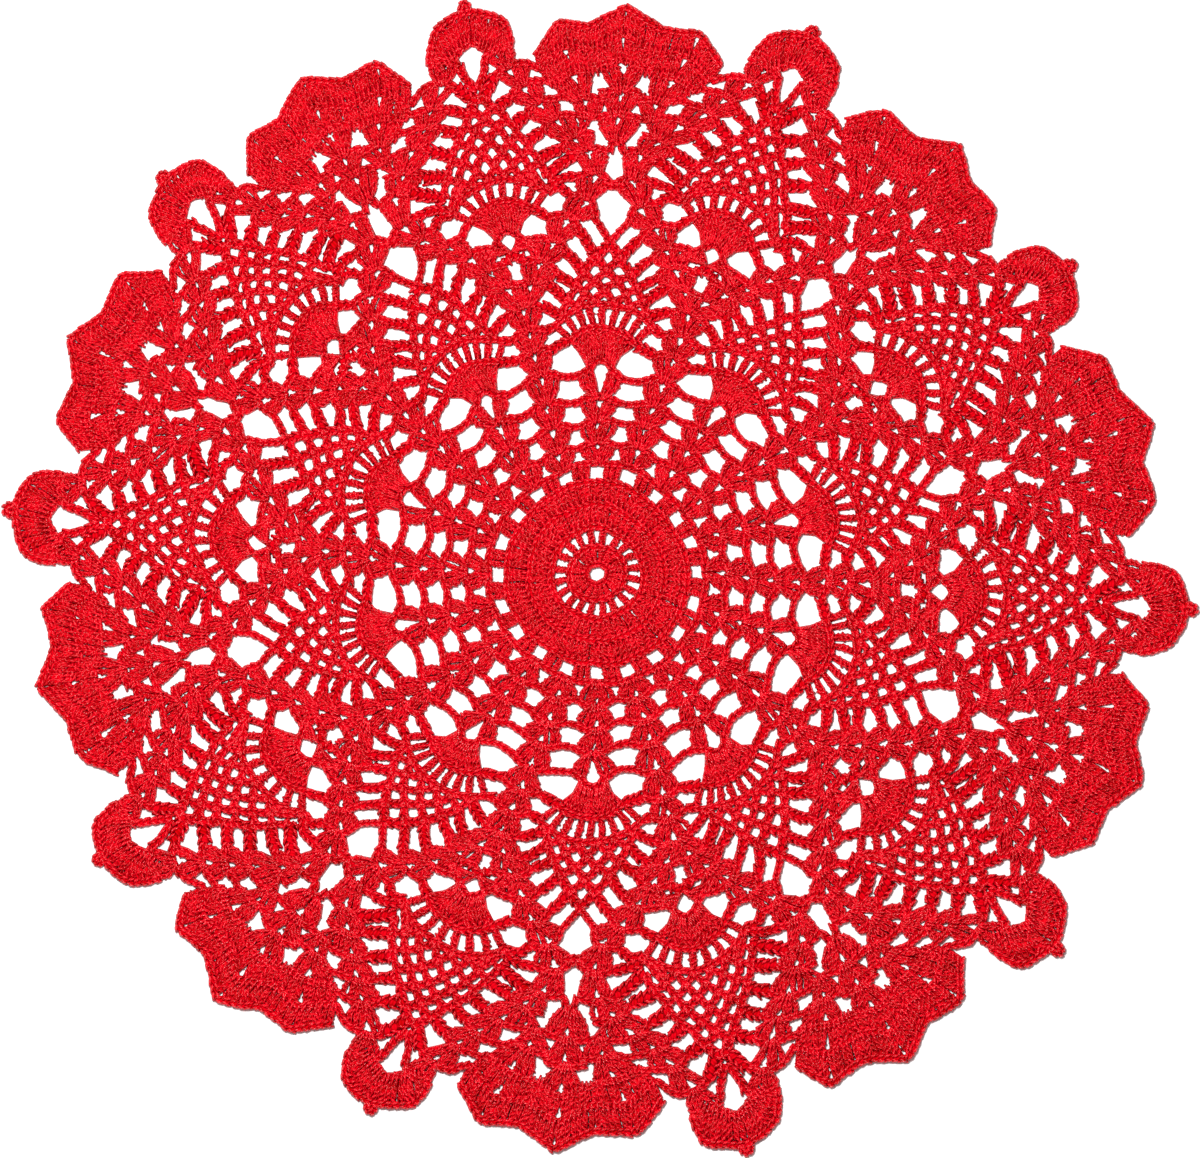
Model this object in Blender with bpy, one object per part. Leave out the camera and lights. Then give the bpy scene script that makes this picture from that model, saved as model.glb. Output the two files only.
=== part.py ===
"""A round crocheted lace doily in ten repeats, lying flat.

Metres, +Z up. The underside lies at z = 0, and the origin is under the middle of the doily's box.
The lace is one flat sheet with the outline of its ten tips and ten three-pointed fans, and with its
largest gaps cut through. The repeats are as uneven as hand work: REPEATS says how far each one is
turned and how far it reaches.
"""

from collections import namedtuple
from math import atan2, cos, degrees, floor, pi, radians, sin

import bmesh
import bpy
from mathutils import Vector
from mathutils.geometry import delaunay_2d_cdt

MM = 0.001

# Driving dimensions, in millimetres.
THICKNESS = 2.0
RING_RADIUS = 81.7          # the last ring of gaps before the pineapples start
HEART_RADIUS = 138.5        # the teardrop gap past each inner pineapple
EDGE_RADIUS = 219.5         # the fans' middle points
STEADY_RADIUS = 38.0        # inside this the rounds are regular
CENTRE_HOLE_RADIUS = 2.7

# The ten inner pineapples stand on axes this many degrees apart, and the outer ones between them.
REPEAT_COUNT = 10
REPEAT_ANGLE = 360.0 / REPEAT_COUNT
FIRST_AXIS = 18.0

OUTLINE_STEP = 1.0          # degrees between points of the outline
FEW_SIDES = 6               # corners of a small gap
MANY_SIDES = 10             # corners of a large gap

# Turns are in degrees, counter-clockwise, and reaches in millimetres, outwards.
Repeat = namedtuple("Repeat", "ring_turn heart_turn heart_reach fan_turn fan_reach tip_turn tip_reach")
REPEATS = (
    Repeat(-2.7, -3.2, 0.0, -2.5, 0.8, -3.1, -7.6),
    Repeat(-1.4, -2.1, -3.8, -4.2, -5.3, -3.6, -0.8),
    Repeat(-1.0, -2.4, 0.4, -3.0, -1.5, -4.7, -1.1),
    Repeat(-3.0, -4.1, 2.7, -5.0, 0.4, -6.5, 1.9),
    Repeat(-4.2, -5.6, 2.7, -6.2, 1.9, -6.0, 2.3),
    Repeat(-3.4, -5.8, -1.5, -6.8, -1.5, -6.0, -3.1),
    Repeat(-1.9, -4.9, -2.3, -6.0, -1.5, -4.9, -1.1),
    Repeat(-1.0, -3.3, 0.4, -4.3, 2.3, -3.4, 4.2),
    Repeat(-1.0, -3.1, 0.0, -3.5, 1.1, -3.1, 3.1),
    Repeat(-1.3, -2.7, 2.3, -3.0, 3.4, -3.6, 4.2),
)

# The edge of one repeat, from tip to tip across a fan: degrees from the fan's axis, counter-clockwise,
# and millimetres from the centre. Each round is worked counter-clockwise, so the two sides differ.
EdgePoint = namedtuple("EdgePoint", "bearing radius")
EDGE = (
    EdgePoint(-18.0, 224.0),    # a tip
    EdgePoint(-13.6, 211.5),    # its shoulder
    EdgePoint(-11.8, 199.6),    # the notch between tip and fan
    EdgePoint(-8.2, 209.8),     # the fan's first side point
    EdgePoint(-4.4, 208.8),     # the dip beside it
    EdgePoint(0.0, 219.5),      # the fan's middle point
    EdgePoint(4.0, 212.3),      # the dip after it
    EdgePoint(7.2, 216.0),      # the fan's second side point
    EdgePoint(11.7, 204.6),     # the notch between fan and tip
    EdgePoint(13.8, 211.5),     # the next tip's shoulder
    EdgePoint(18.0, 224.0),     # the next tip
)

# The largest gaps, in rounds from the centre out. The bearing is in degrees from the pineapple's axis,
# length is along the radius and width across it, and lean turns the gap towards the next axis.
# A gap's pinch, from 0 to 1, narrows its inner end.
Gap = namedtuple("Gap", "name bearing radius length width lean pinch sides")
GAPS = (
    Gap("small ring gap", 9.0, 71.3, 7.2, 8.4, 0.0, 0.2, FEW_SIDES),
    Gap("ring gap", 9.6, 81.7, 10.8, 11.2, 0.0, 0.4, FEW_SIDES),
    Gap("lower side gap", 5.7, 123.9, 3.8, 9.0, -25.0, 0.0, FEW_SIDES),
    Gap("upper side gap", 3.2, 129.8, 8.0, 4.8, 35.0, 0.2, FEW_SIDES),
    Gap("square gap", 12.4, 134.2, 6.6, 8.0, 0.0, 0.0, FEW_SIDES),
    Gap("heart gap", 0.0, HEART_RADIUS, 16.0, 12.4, 0.0, 0.7, MANY_SIDES),
    Gap("wide gap", 9.8, 142.6, 7.6, 10.6, 0.0, 0.0, FEW_SIDES),
    Gap("long gap", 0.0, 157.0, 14.4, 6.6, 0.0, 0.3, MANY_SIDES),
    Gap("junction gap", 2.5, 168.2, 8.4, 5.4, 20.0, 0.0, FEW_SIDES),
    Gap("fan side gap", 7.1, 181.8, 8.0, 5.4, 20.0, 0.2, FEW_SIDES),
    Gap("fan gap", 2.4, 188.2, 8.0, 5.6, 5.0, 0.3, FEW_SIDES),
    Gap("tip gap", 18.0, 203.0, 15.4, 6.4, 0.0, 0.2, MANY_SIDES),
)

COTTON_RED = (0.72, 0.008, 0.028, 1.0)
COTTON_ROUGHNESS = 0.62

Place = namedtuple("Place", "x y")


def eased(part):
    """Goes from 0 to 1 with level ends."""
    return (1.0 - cos(pi * part)) / 2.0


def around(bearing, values):
    """The value at a bearing, between values that are evenly spaced from the first axis on."""
    steps = (bearing - FIRST_AXIS) / 360.0 * len(values)
    before = floor(steps)
    share = eased(steps - before)
    count = len(values)
    return values[before % count] * (1.0 - share) + values[(before + 1) % count] * share


RING_TURNS = [repeat.ring_turn for repeat in REPEATS]
HEART_TURNS = [repeat.heart_turn for repeat in REPEATS]
HEART_REACHES = [repeat.heart_reach for repeat in REPEATS]
EDGE_TURNS = [turn for repeat in REPEATS for turn in (repeat.fan_turn, repeat.tip_turn)]
EDGE_REACHES = [reach for repeat in REPEATS for reach in (repeat.fan_reach, repeat.tip_reach)]


def worked(bearing, radius):
    """Where a point of the even design lies in the uneven work, from the centre of the lace."""
    ring_turn = around(bearing, RING_TURNS)
    heart_turn = around(bearing, HEART_TURNS)
    heart_reach = around(bearing, HEART_REACHES)
    if radius < RING_RADIUS:
        share = max(0.0, (radius - STEADY_RADIUS) / (RING_RADIUS - STEADY_RADIUS))
        turn = ring_turn * share
        reach = 0.0
    elif radius < HEART_RADIUS:
        share = (radius - RING_RADIUS) / (HEART_RADIUS - RING_RADIUS)
        turn = ring_turn + (heart_turn - ring_turn) * share
        reach = heart_reach * share
    else:
        share = (radius - HEART_RADIUS) / (EDGE_RADIUS - HEART_RADIUS)
        turn = heart_turn + (around(bearing, EDGE_TURNS) - heart_turn) * share
        reach = heart_reach + (around(bearing, EDGE_REACHES) - heart_reach) * share
    angle = radians(bearing + turn)
    return Place((radius + reach) * cos(angle), (radius + reach) * sin(angle))


def edge_radius(offset):
    """The radius of the even design's edge, at an offset in degrees from a fan's axis."""
    after = next(number for number, point in enumerate(EDGE) if offset <= point.bearing)
    last, coming = EDGE[max(after, 1) - 1], EDGE[max(after, 1)]
    share = eased((offset - last.bearing) / (coming.bearing - last.bearing))
    return last.radius + (coming.radius - last.radius) * share


def outline():
    """The doily's outer edge, counter-clockwise."""
    places = []
    for step in range(round(360.0 / OUTLINE_STEP)):
        bearing = step * OUTLINE_STEP
        offset = (bearing - FIRST_AXIS + REPEAT_ANGLE / 2.0) % REPEAT_ANGLE - REPEAT_ANGLE / 2.0
        places.append(worked(bearing, edge_radius(offset)))
    return places


def gap_places(gap, axis, side):
    """One gap's corners, counter-clockwise. side is -1 for its mirror image across the axis, or else 1."""
    places = []
    lean = radians(gap.lean)
    for corner in range(gap.sides):
        angle = 2.0 * pi * (corner + 0.5) / gap.sides
        outwards = gap.length / 2.0 * cos(angle)
        narrowed = 1.0 - gap.pinch * (1.0 - cos(angle)) / 2.0
        across = gap.width / 2.0 * sin(angle) * narrowed
        leaned_out = outwards * cos(lean) - across * sin(lean)
        leaned_across = outwards * sin(lean) + across * cos(lean)
        radius = gap.radius + leaned_out
        bearing = gap.bearing + degrees(atan2(leaned_across, radius))
        places.append(worked(axis + side * bearing, radius))
    return places[::side]


def centre_hole():
    """The ring that the first round is worked into."""
    angles = [2.0 * pi * corner / MANY_SIDES for corner in range(MANY_SIDES)]
    return [Place(CENTRE_HOLE_RADIUS * cos(angle), CENTRE_HOLE_RADIUS * sin(angle)) for angle in angles]


def all_gaps():
    """Every gap of every repeat. A gap on a pineapple's axis has no mirror image."""
    gaps = [centre_hole()]
    for number in range(REPEAT_COUNT):
        axis = FIRST_AXIS + number * REPEAT_ANGLE
        for gap in GAPS:
            on_axis = gap.bearing in (0.0, REPEAT_ANGLE / 2.0)
            for side in ((1,) if on_axis else (1, -1)):
                gaps.append(gap_places(gap, axis, side))
    return gaps


def box_middle(places):
    """The middle of the box around some places."""
    xs = [place.x for place in places]
    ys = [place.y for place in places]
    return Place((min(xs) + max(xs)) / 2.0, (min(ys) + max(ys)) / 2.0)


def flat_triangles(edge, gaps, middle):
    """Points in metres and triangles that fill the edge but not the gaps."""
    points = []
    loops = []
    for loop in [edge] + gaps:
        loops.append(list(range(len(points), len(points) + len(loop))))
        points += [Vector(((place.x - middle.x) * MM, (place.y - middle.y) * MM)) for place in loop]
    inside_constraints = 1
    nearest = 1e-7
    filled = delaunay_2d_cdt(points, [], loops, inside_constraints, nearest)
    corners, triangles, sources = filled[0], filled[2], filled[5]
    cloth = [triangle for triangle, source in zip(triangles, sources) if list(source) == [0]]
    return corners, cloth


def cotton():
    material = bpy.data.materials.new("red_cotton")
    material.use_nodes = True
    shader = material.node_tree.nodes["Principled BSDF"]
    shader.inputs["Base Color"].default_value = COTTON_RED
    shader.inputs["Roughness"].default_value = COTTON_ROUGHNESS
    shader.inputs["Metallic"].default_value = 0.0
    return material


def lace_sheet():
    """The doily, as one flat sheet with its gaps."""
    edge = outline()
    corners, triangles = flat_triangles(edge, all_gaps(), box_middle(edge))
    work = bmesh.new()
    floor_points = [work.verts.new((corner.x, corner.y, 0.0)) for corner in corners]
    for triangle in triangles:
        work.faces.new([floor_points[index] for index in triangle])
    spare = [point for point in work.verts if not point.link_faces]
    bmesh.ops.delete(work, geom=spare, context="VERTS")
    raised = bmesh.ops.extrude_face_region(work, geom=work.faces[:], use_keep_orig=True)
    top_points = [item for item in raised["geom"] if isinstance(item, bmesh.types.BMVert)]
    bmesh.ops.translate(work, verts=top_points, vec=(0.0, 0.0, THICKNESS * MM))
    bmesh.ops.recalc_face_normals(work, faces=work.faces[:])
    mesh = bpy.data.meshes.new("doily")
    work.to_mesh(mesh)
    work.free()
    doily = bpy.data.objects.new("doily", mesh)
    doily.data.materials.append(cotton())
    bpy.context.scene.collection.objects.link(doily)


def main():
    for item in list(bpy.data.objects):
        bpy.data.objects.remove(item, do_unlink=True)
    lace_sheet()


main()
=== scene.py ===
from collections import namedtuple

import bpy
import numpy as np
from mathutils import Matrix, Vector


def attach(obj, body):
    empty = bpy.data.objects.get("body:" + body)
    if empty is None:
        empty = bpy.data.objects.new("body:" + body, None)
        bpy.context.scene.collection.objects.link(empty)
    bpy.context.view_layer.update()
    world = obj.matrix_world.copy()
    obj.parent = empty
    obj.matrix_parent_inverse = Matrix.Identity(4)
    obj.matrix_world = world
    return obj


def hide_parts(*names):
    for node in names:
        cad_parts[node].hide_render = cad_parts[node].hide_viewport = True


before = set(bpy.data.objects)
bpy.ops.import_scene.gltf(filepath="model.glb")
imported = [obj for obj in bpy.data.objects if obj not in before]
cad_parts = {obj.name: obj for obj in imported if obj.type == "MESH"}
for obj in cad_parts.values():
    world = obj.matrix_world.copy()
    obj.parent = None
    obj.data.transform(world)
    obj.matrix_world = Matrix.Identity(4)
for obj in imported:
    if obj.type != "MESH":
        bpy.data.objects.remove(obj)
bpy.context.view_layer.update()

# The looks of a round crocheted lace doily: every stitch as yarn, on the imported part's outline and gaps.
#
# The lace is charted once, as an even design, for one half of one repeat: from the axis of an inner
# pineapple, at bearing 0, to the axis of an outer pineapple, at bearing 18. x runs out from the centre
# along bearing 0 and y across it, both in millimetres. The half is mirrored and turned ten times, and
# worked() then makes it as uneven as the part.

MM = 0.001
SEED = 26

# Sizes that the part has too, in millimetres and degrees.
RING_RADIUS = 81.7
HEART_RADIUS = 138.5
EDGE_RADIUS = 219.5
STEADY_RADIUS = 38.0
FIRST_AXIS = 18.0
REPEAT_COUNT = 10
HALF_REPEAT = 180.0 / REPEAT_COUNT
BOX_MIDDLE = np.array((1.381, -1.737))      # the middle of the part's box, from the lace's centre

Repeat = namedtuple("Repeat", "ring_turn heart_turn heart_reach fan_turn fan_reach tip_turn tip_reach")
REPEATS = (
    Repeat(-2.7, -3.2, 0.0, -2.5, 0.8, -3.1, -7.6),
    Repeat(-1.4, -2.1, -3.8, -4.2, -5.3, -3.6, -0.8),
    Repeat(-1.0, -2.4, 0.4, -3.0, -1.5, -4.7, -1.1),
    Repeat(-3.0, -4.1, 2.7, -5.0, 0.4, -6.5, 1.9),
    Repeat(-4.2, -5.6, 2.7, -6.2, 1.9, -6.0, 2.3),
    Repeat(-3.4, -5.8, -1.5, -6.8, -1.5, -6.0, -3.1),
    Repeat(-1.9, -4.9, -2.3, -6.0, -1.5, -4.9, -1.1),
    Repeat(-1.0, -3.3, 0.4, -4.3, 2.3, -3.4, 4.2),
    Repeat(-1.0, -3.1, 0.0, -3.5, 1.1, -3.1, 3.1),
    Repeat(-1.3, -2.7, 2.3, -3.0, 3.4, -3.6, 4.2),
)

# The yarn and the stitches, in millimetres.
YARN_RADIUS = 0.64
LINK_LENGTH = 2.7           # one link of a chain, or the head of one post
SPACE_HALF = 1.95           # half of the chain space in the middle of a shell
RISE = 2.4                  # from the middle of a chain space up to the heads above it
PITCH = 1.85                # between the heads of a shell's posts
FOOT_WIDTH = 1.9            # of a shell's post, at its foot
HEAD_EXTRA = 0.5            # how much wider its head is than the pitch
HEAD_DEPTH = 0.25           # from its head's end up to the middle of the chain over it
FIRST_FOOT = 0.6            # from the middle of a chain space to the first foot beside it
BOW = 0.80                  # how much further each post of a shell bows out than the one before it
FIRST_BOW = -0.65
FOOT_SPREAD = 0.85          # between the feet of a shell's posts
FOOT_LIFT = 1.7             # from the middle of a chain space up to the feet over its chain
DROOP = 0.05                # how a shell's heads fall away from its middle, for each square millimetre
ARCH_REACH = 1.2            # how far the arch of a chain reaches past each side of its space
PARTED = 2.1                # from a small chain space to the posts beside it, at their heads
PARTED_FOOT = 1.0           # how much wider the feet of posts beside it are
PARTED_HEAD = 0.6           # and how much narrower their heads
ROUND_DEPTH = 0.7           # from a head of a filled round up to the middle of the chain over it
LOOP_FULLNESS = 0.75        # the power of a loop's sine: the smaller, the steeper its sides


# -------------------------------- places in the even design

def polar(bearing, radius):
    angle = np.radians(bearing)
    return np.stack([radius * np.cos(angle), radius * np.sin(angle)], axis=-1)


def unit(vector):
    return vector / np.maximum(np.linalg.norm(vector, axis=-1, keepdims=True), 1e-9)


def left_of(vector):
    """The vector turned a quarter counter-clockwise, which is the way that the rounds are worked."""
    return np.stack([-vector[..., 1], vector[..., 0]], axis=-1)


def by_outer_axis(out, aside):
    """A place near the outer pineapple, from distances along its axis and back towards the inner one."""
    along = polar(HALF_REPEAT, 1.0)
    return along * out - left_of(along) * aside


def arc(middle, radius, end, count=15):
    """Points on an arc about a middle on the axis, from the axis to an angle in degrees."""
    return np.array((middle, 0.0)) + polar(np.linspace(0.0, end, count), radius)


def bulged(start, end, bulge, count=9):
    """A chain that hangs between two places in a shallow bow. The bulge is to its right."""
    share = np.linspace(0.0, 1.0, count)[:, None]
    start, end = np.asarray(start), np.asarray(end)
    return start + (end - start) * share - left_of(unit(end - start)) * bulge * np.sin(np.pi * share)


def through(start, top, end, count=13):
    """A loop from one place over a top to another."""
    share = np.linspace(0.0, 1.0, count)[:, None]
    start, top, end = (np.asarray(place) for place in (start, top, end))
    lift = np.sin(np.pi * share) ** LOOP_FULLNESS
    return start + (end - start) * share + (top - (start + end) / 2.0) * lift


# -------------------------------- the stitches, as they are charted

Post = namedtuple("Post", "foot top bow foot_width top_width over once")
Link = namedtuple("Link", "middle along width once")

# The visible pieces, with the last round of each.
PIECES = {
    "lace_medallion": 9,
    "lace_inner_pineapples": 14,
    "lace_hearts": 18,
    "lace_outer_pineapples": 21,
    "lace_fans": 23,
    "lace_edge": 25,
    "lace_tips": 26,
}


def zone_name(number):
    """The piece that a round belongs to."""
    return next(name for name, last in PIECES.items() if number <= last)


class Zone:
    """The posts and chain links of some rounds, for one half of a repeat."""

    def __init__(self, name):
        self.name = name
        self.posts = []
        self.links = []

    def post(self, foot, top, foot_width, top_width, bow=(0.0, 0.0), over=0.0, once=False):
        """One post. over is 1 where its foot lies over a chain, and once means that it isn't mirrored."""
        self.posts.append(Post(foot, top, bow, foot_width, top_width, over, once))

    def chain(self, path, once=False, length=LINK_LENGTH, width=1.0):
        """A row of links along a path. width is a share of the usual one."""
        path = np.asarray(path, float)
        steps = np.linalg.norm(np.diff(path, axis=0), axis=1)
        far = np.concatenate([[0.0], np.cumsum(steps)])
        count = max(1, round(far[-1] / length))
        ends = np.linspace(0.0, far[-1], count + 1)
        places = np.stack([np.interp(ends, far, path[:, axis]) for axis in (0, 1)], axis=1)
        for first, second in zip(places[:-1], places[1:]):
            self.links.append(Link((first + second) / 2.0, second - first, width, once))


# -------------------------------- shells

Shell = namedtuple("Shell", "place before after")


def shell(zone, foot, place, near=3, far=3, pitch=PITCH, turn=0.5, space=SPACE_HALF, slopes=(0.0, 0.0),
          droop=DROOP, foot_spread=FOOT_SPREAD, first_bow=FIRST_BOW, more_bow=BOW, arch=0.0):
    """Posts from the last chain space, foot, to both sides of a new one, place.

    near and far are the posts on the side of the inner and of the outer axis. A count of None leaves
    that side to the mirror image. The heads fall away from the middle by their droop, and by slopes on
    the near and far side, and arch lifts the chain over the space. Returns the ends of the shell's
    heads, for the chains beside it."""
    foot, place = np.asarray(foot, float), np.asarray(place, float)
    out = unit(place - foot)
    round_way = left_of(unit(place))
    across = unit((1.0 - turn) * left_of(out) + turn * round_way)
    heads = place + out * RISE
    ends = {}
    for side, count, slope in ((-1.0, near, slopes[0]), (1.0, far, slopes[1])):
        if count is None:
            continue
        for number in range(count):
            aside = side * (space + pitch * (number + 0.5))
            top = heads + across * aside - out * (droop * aside * aside + slope * abs(aside) + HEAD_DEPTH)
            start = foot + out * FOOT_LIFT + across * side * (FIRST_FOOT + foot_spread * number)
            bow = across * side * (first_bow + more_bow * number)
            zone.post(start, top, FOOT_WIDTH, pitch + HEAD_EXTRA, bow, over=1.0)
        reach = np.linspace(0.0, space + pitch * count, 3 + 2 * count)[:, None] * side
        line = heads + across * reach - out * (droop * reach * reach + slope * np.abs(reach))
        line = line + out * arch * np.sqrt(np.maximum(0.0, 1.0 - (reach / (space + ARCH_REACH)) ** 2))
        ends[side] = line[-1]
        zone.chain(line[::-1] if side < 0 else line)
    return Shell(place, ends.get(-1.0), ends.get(1.0))


def filled(zone, inner, outer, count, spaces=(), foot_width=2.2, top_width=2.8, parted=PARTED, to_axis=False):
    """Posts from one path to another, with their heads along the outer one. They part at the spaces.
    to_axis is for paths that end on an axis: the last post stands on it."""
    inner, outer = np.asarray(inner, float), np.asarray(outer, float)

    def at(path, share):
        far = np.concatenate([[0.0], np.cumsum(np.linalg.norm(np.diff(path, axis=0), axis=1))])
        return np.array([np.interp(share * far[-1], far, path[:, axis]) for axis in (0, 1)])

    for number in range(count):
        share = (number + 1.0) / count if to_axis else (number + 0.5) / count
        foot = at(inner, share)
        top = at(outer, share)
        widths = (foot_width, top_width)
        for space in spaces:
            away = top - space
            push = max(0.0, parted - np.linalg.norm(away))
            if push > 0.0:
                top = top + unit(away) * push
                widths = (foot_width + PARTED_FOOT, top_width - PARTED_HEAD)
        zone.post(foot, top - unit(top - foot) * ROUND_DEPTH, *widths, over=1.0, once=share == 1.0)
    zone.chain(outer)


# -------------------------------- the medallion, rounds 1 to 9

# The rounds with no shells: the radius at the posts' feet and heads, their bearings and their widths there,
# and the radius and the link length of the chain over them.
PlainRound = namedtuple("PlainRound", "foot top bearings foot_width top_width chain link",
                        defaults=(LINK_LENGTH,))
FIRST_RING = (4.3, 1.35)    # the radius and the link length of the ring that they start from
PLAIN_ROUNDS = (
    PlainRound(4.9, 9.9, (9.0,), 1.6, 3.2, 10.7, 3.3),
    PlainRound(11.3, 16.8, (9.0,), 2.6, 3.2, 17.9),
    PlainRound(18.6, 25.0, (3.0, 9.0, 15.0), 2.5, 3.2, 25.8),
    PlainRound(26.5, 33.4, (2.25, 6.75, 11.25, 15.75), 2.6, 3.2, 34.2),
    PlainRound(34.9, 40.4, (5.5, 9.0, 12.5), 2.2, 2.4, 41.3),
)
# The shells over them, on both axes: the radius of the chain space below and of their own, and the pitch
# of their posts. The last row leaves a wide, arched space where an inner pineapple stands on it.
MedallionShell = namedtuple("MedallionShell", "foot place pitch space first_bow arch",
                            defaults=(SPACE_HALF, FIRST_BOW, 0.0))
MEDALLION_SHELLS = (
    MedallionShell(40.0, 48.1, 1.65),
    MedallionShell(48.1, 57.4, 1.75),
    MedallionShell(57.4, 66.6, 1.85),
    MedallionShell(66.6, 76.6, 1.9, 2.8, 0.0, 2.5),
)
MEDALLION_BULGE = -0.4      # of the chains between them


def half_ring(zone, radius, length):
    zone.chain(polar(np.linspace(0.0, HALF_REPEAT, 9), radius), length=length)


def medallion(zone):
    half_ring(zone, *FIRST_RING)
    for plain in PLAIN_ROUNDS:
        for bearing in plain.bearings:
            foot, top = polar(bearing, plain.foot), polar(bearing, plain.top)
            zone.post(foot, top, plain.foot_width, plain.top_width)
        half_ring(zone, plain.chain, plain.link)
    for spot in MEDALLION_SHELLS:
        inner = shell(zone, polar(0.0, spot.foot), polar(0.0, spot.place), near=None, pitch=spot.pitch,
                      space=spot.space, first_bow=spot.first_bow, arch=spot.arch)
        outer = shell(zone, polar(HALF_REPEAT, spot.foot), polar(HALF_REPEAT, spot.place), far=None,
                      pitch=spot.pitch)
        zone.chain(bulged(inner.after, outer.before, MEDALLION_BULGE))


# -------------------------------- pineapples

# The places where the loops of a pineapple meet, a row for each round and then the last loop's top:
# out along its axis and aside from it. Each place is the top of a loop of the round before.
INNER_LOOPS = (
    ((102.7, 3.3), (100.9, 9.8), (97.6, 15.7)),
    ((107.2, 0.0), (106.0, 7.9), (103.1, 14.9)),
    ((111.3, 4.2), (109.0, 11.8)),
    ((115.4, 0.0), (114.2, 9.2)),
    ((120.2, 5.0),),
    ((126.0, 0.0),),
)
OUTER_LOOPS = (
    ((155.1, 3.2), (153.4, 9.6), (150.2, 15.2), (145.7, 19.9)),
    ((159.5, 0.0), (158.5, 7.5), (155.7, 14.5), (151.2, 20.6)),
    ((164.0, 3.9), (162.0, 11.7), (157.5, 19.0)),
    ((168.4, 0.0), (167.2, 8.0), (163.5, 16.0)),
    ((172.6, 4.1), (170.0, 12.4)),
    ((176.8, 0.0), (175.5, 8.6)),
    ((181.2, 4.4),),
    ((186.8, 0.0),),
)
# A pineapple's base: a fan of tall posts over one chain space, and a row of a few posts over that. Radii
# are about a hub on its axis, and bearings and spreads are in degrees from the axis to one side.
Base = namedtuple("Base", "fan_hub fan_arch fan_top fan_spread row_hub row_foot row_head row_top row_spread"
                          " row_bearings row_widths")
INNER_BASE = Base(fan_hub=77.6, fan_arch=4.3, fan_top=15.9, fan_spread=48.0,
                  row_hub=77.3, row_foot=17.4, row_head=24.6, row_top=25.4, row_spread=50.0,
                  row_bearings=(0.0, 12.0, 24.0, 36.0, 47.5), row_widths=(2.9, 3.2))
OUTER_BASE = Base(fan_hub=130.4, fan_arch=4.1, fan_top=16.4, fan_spread=54.0,
                  row_hub=129.8, row_foot=17.6, row_head=24.4, row_top=25.2, row_spread=54.0,
                  row_bearings=(7.3, 22.0, 36.7, 51.3), row_widths=(3.2, 3.6))
FAN_POSTS = 15              # in a base fan
FAN_FOOT_WIDTH = 1.5
FAN_OVERLAP = 1.05          # a head's width, as a share of its place along the arc
FAN_BOW = 1.3               # how far the last post of a base fan bows in
FAN_CLEAR = 0.9             # from the ends of its posts to the middle of the chains under and over them
FOOT_FLARE = 1.5            # how much wider its feet spread than its heads
PAST_FAN = 3.0              # degrees from its last post to the end of the chain over it

# The first round of each pineapple, and of its loops.
INNER_ROUND, INNER_LOOP_ROUND = 10, 12
OUTER_ROUND, OUTER_LOOP_ROUND = 16, 18
INNER_TOP = 127.1           # out along the axis, where the inner pineapple's last chain starts
# How far the chains beside a pineapple bulge out, by round, where that isn't the usual.
SIDE_BULGE = 0.5
INNER_BULGES = {10: 0.3, 11: 0.3, 16: 0.4}
OUTER_BULGES = {16: 0.4, 17: 2.4, 18: 1.6, 24: -0.5}
# Where the side chains of rounds 20 to 24 meet the outer pineapple, out along its axis and aside from it.
OUTER_ENDS = {20: (158.6, 18.6), 21: (165.6, 15.0), 22: (172.6, 10.8), 23: (180.0, 5.6), 24: (185.0, 0.6)}
# The last chain's way to the outer axis, under the tip's hole.
TIP_CHAIN = ((199.2, 4.4), (194.4, 2.6), (190.0, 0.2))
# How wide chains are, as a share of the usual width: those beside a pineapple, its first and last loops,
# and the chains that close a gap on an axis.
SIDE_CHAIN = 1.7
OUTER_SIDE_CHAIN = 1.6
LATE_SIDE_CHAIN = 2.15
LATE_ROUND = 19             # the first round whose chain beside the outer pineapple is that wide
LOOP_WIDTH = 1.05
LAST_LOOP_WIDTH = 1.6
JOINING_CHAIN = 1.2
LOOP_LINK = 2.5             # the length of one link of a loop
ON_AXIS = 0.01              # a loop whose middle is nearer than this to the axis stands on it


def base_fan(zone, place, base):
    """Tall posts that fan out over the arch of one chain space. place maps (out, aside). Returns the chain
    over them."""
    hub = np.array((base.fan_hub, 0.0))
    half = (FAN_POSTS - 1) // 2
    head_width = 2.0 * FAN_OVERLAP * base.fan_top * np.radians(base.fan_spread) / FAN_POSTS + HEAD_EXTRA
    for number in range(half + 1):
        share = number / half
        foot = hub + polar(share * base.fan_spread * FOOT_FLARE, base.fan_arch + FAN_CLEAR)
        head = hub + polar(share * base.fan_spread, base.fan_top - FAN_CLEAR)
        inwards = -left_of(unit(head - foot)) * FAN_BOW * share
        bow = place(*(hub + inwards)) - place(*hub)
        zone.post(place(*foot), place(*head), FAN_FOOT_WIDTH, head_width, bow, over=1.0, once=number == 0)
    return [place(*point) for point in arc(base.fan_hub, base.fan_top, base.fan_spread + PAST_FAN)]


def base_rounds(zones, place, base, first_round, flip, last_places):
    """A pineapple's base fan and its row over that. Adds where their side chains start to last_places."""
    fan_zone = zones[zone_name(first_round)]
    fan_chain = base_fan(fan_zone, place, base)
    fan_zone.chain(fan_chain[::-1] if flip else fan_chain)
    row_zone = zones[zone_name(first_round + 1)]
    row_chain = [place(*point) for point in arc(base.row_hub, base.row_top, base.row_spread)]
    row_zone.chain(row_chain[::-1] if flip else row_chain)
    hub = np.array((base.row_hub, 0.0))
    for bearing in base.row_bearings:
        way = polar(bearing, 1.0)
        foot = place(*(hub + way * base.row_foot))
        head = place(*(hub + way * base.row_head))
        row_zone.post(foot, head, *base.row_widths, once=bearing == 0.0)
    last_places[first_round] = fan_chain[-1]
    last_places[first_round + 1] = row_chain[-1]


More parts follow.
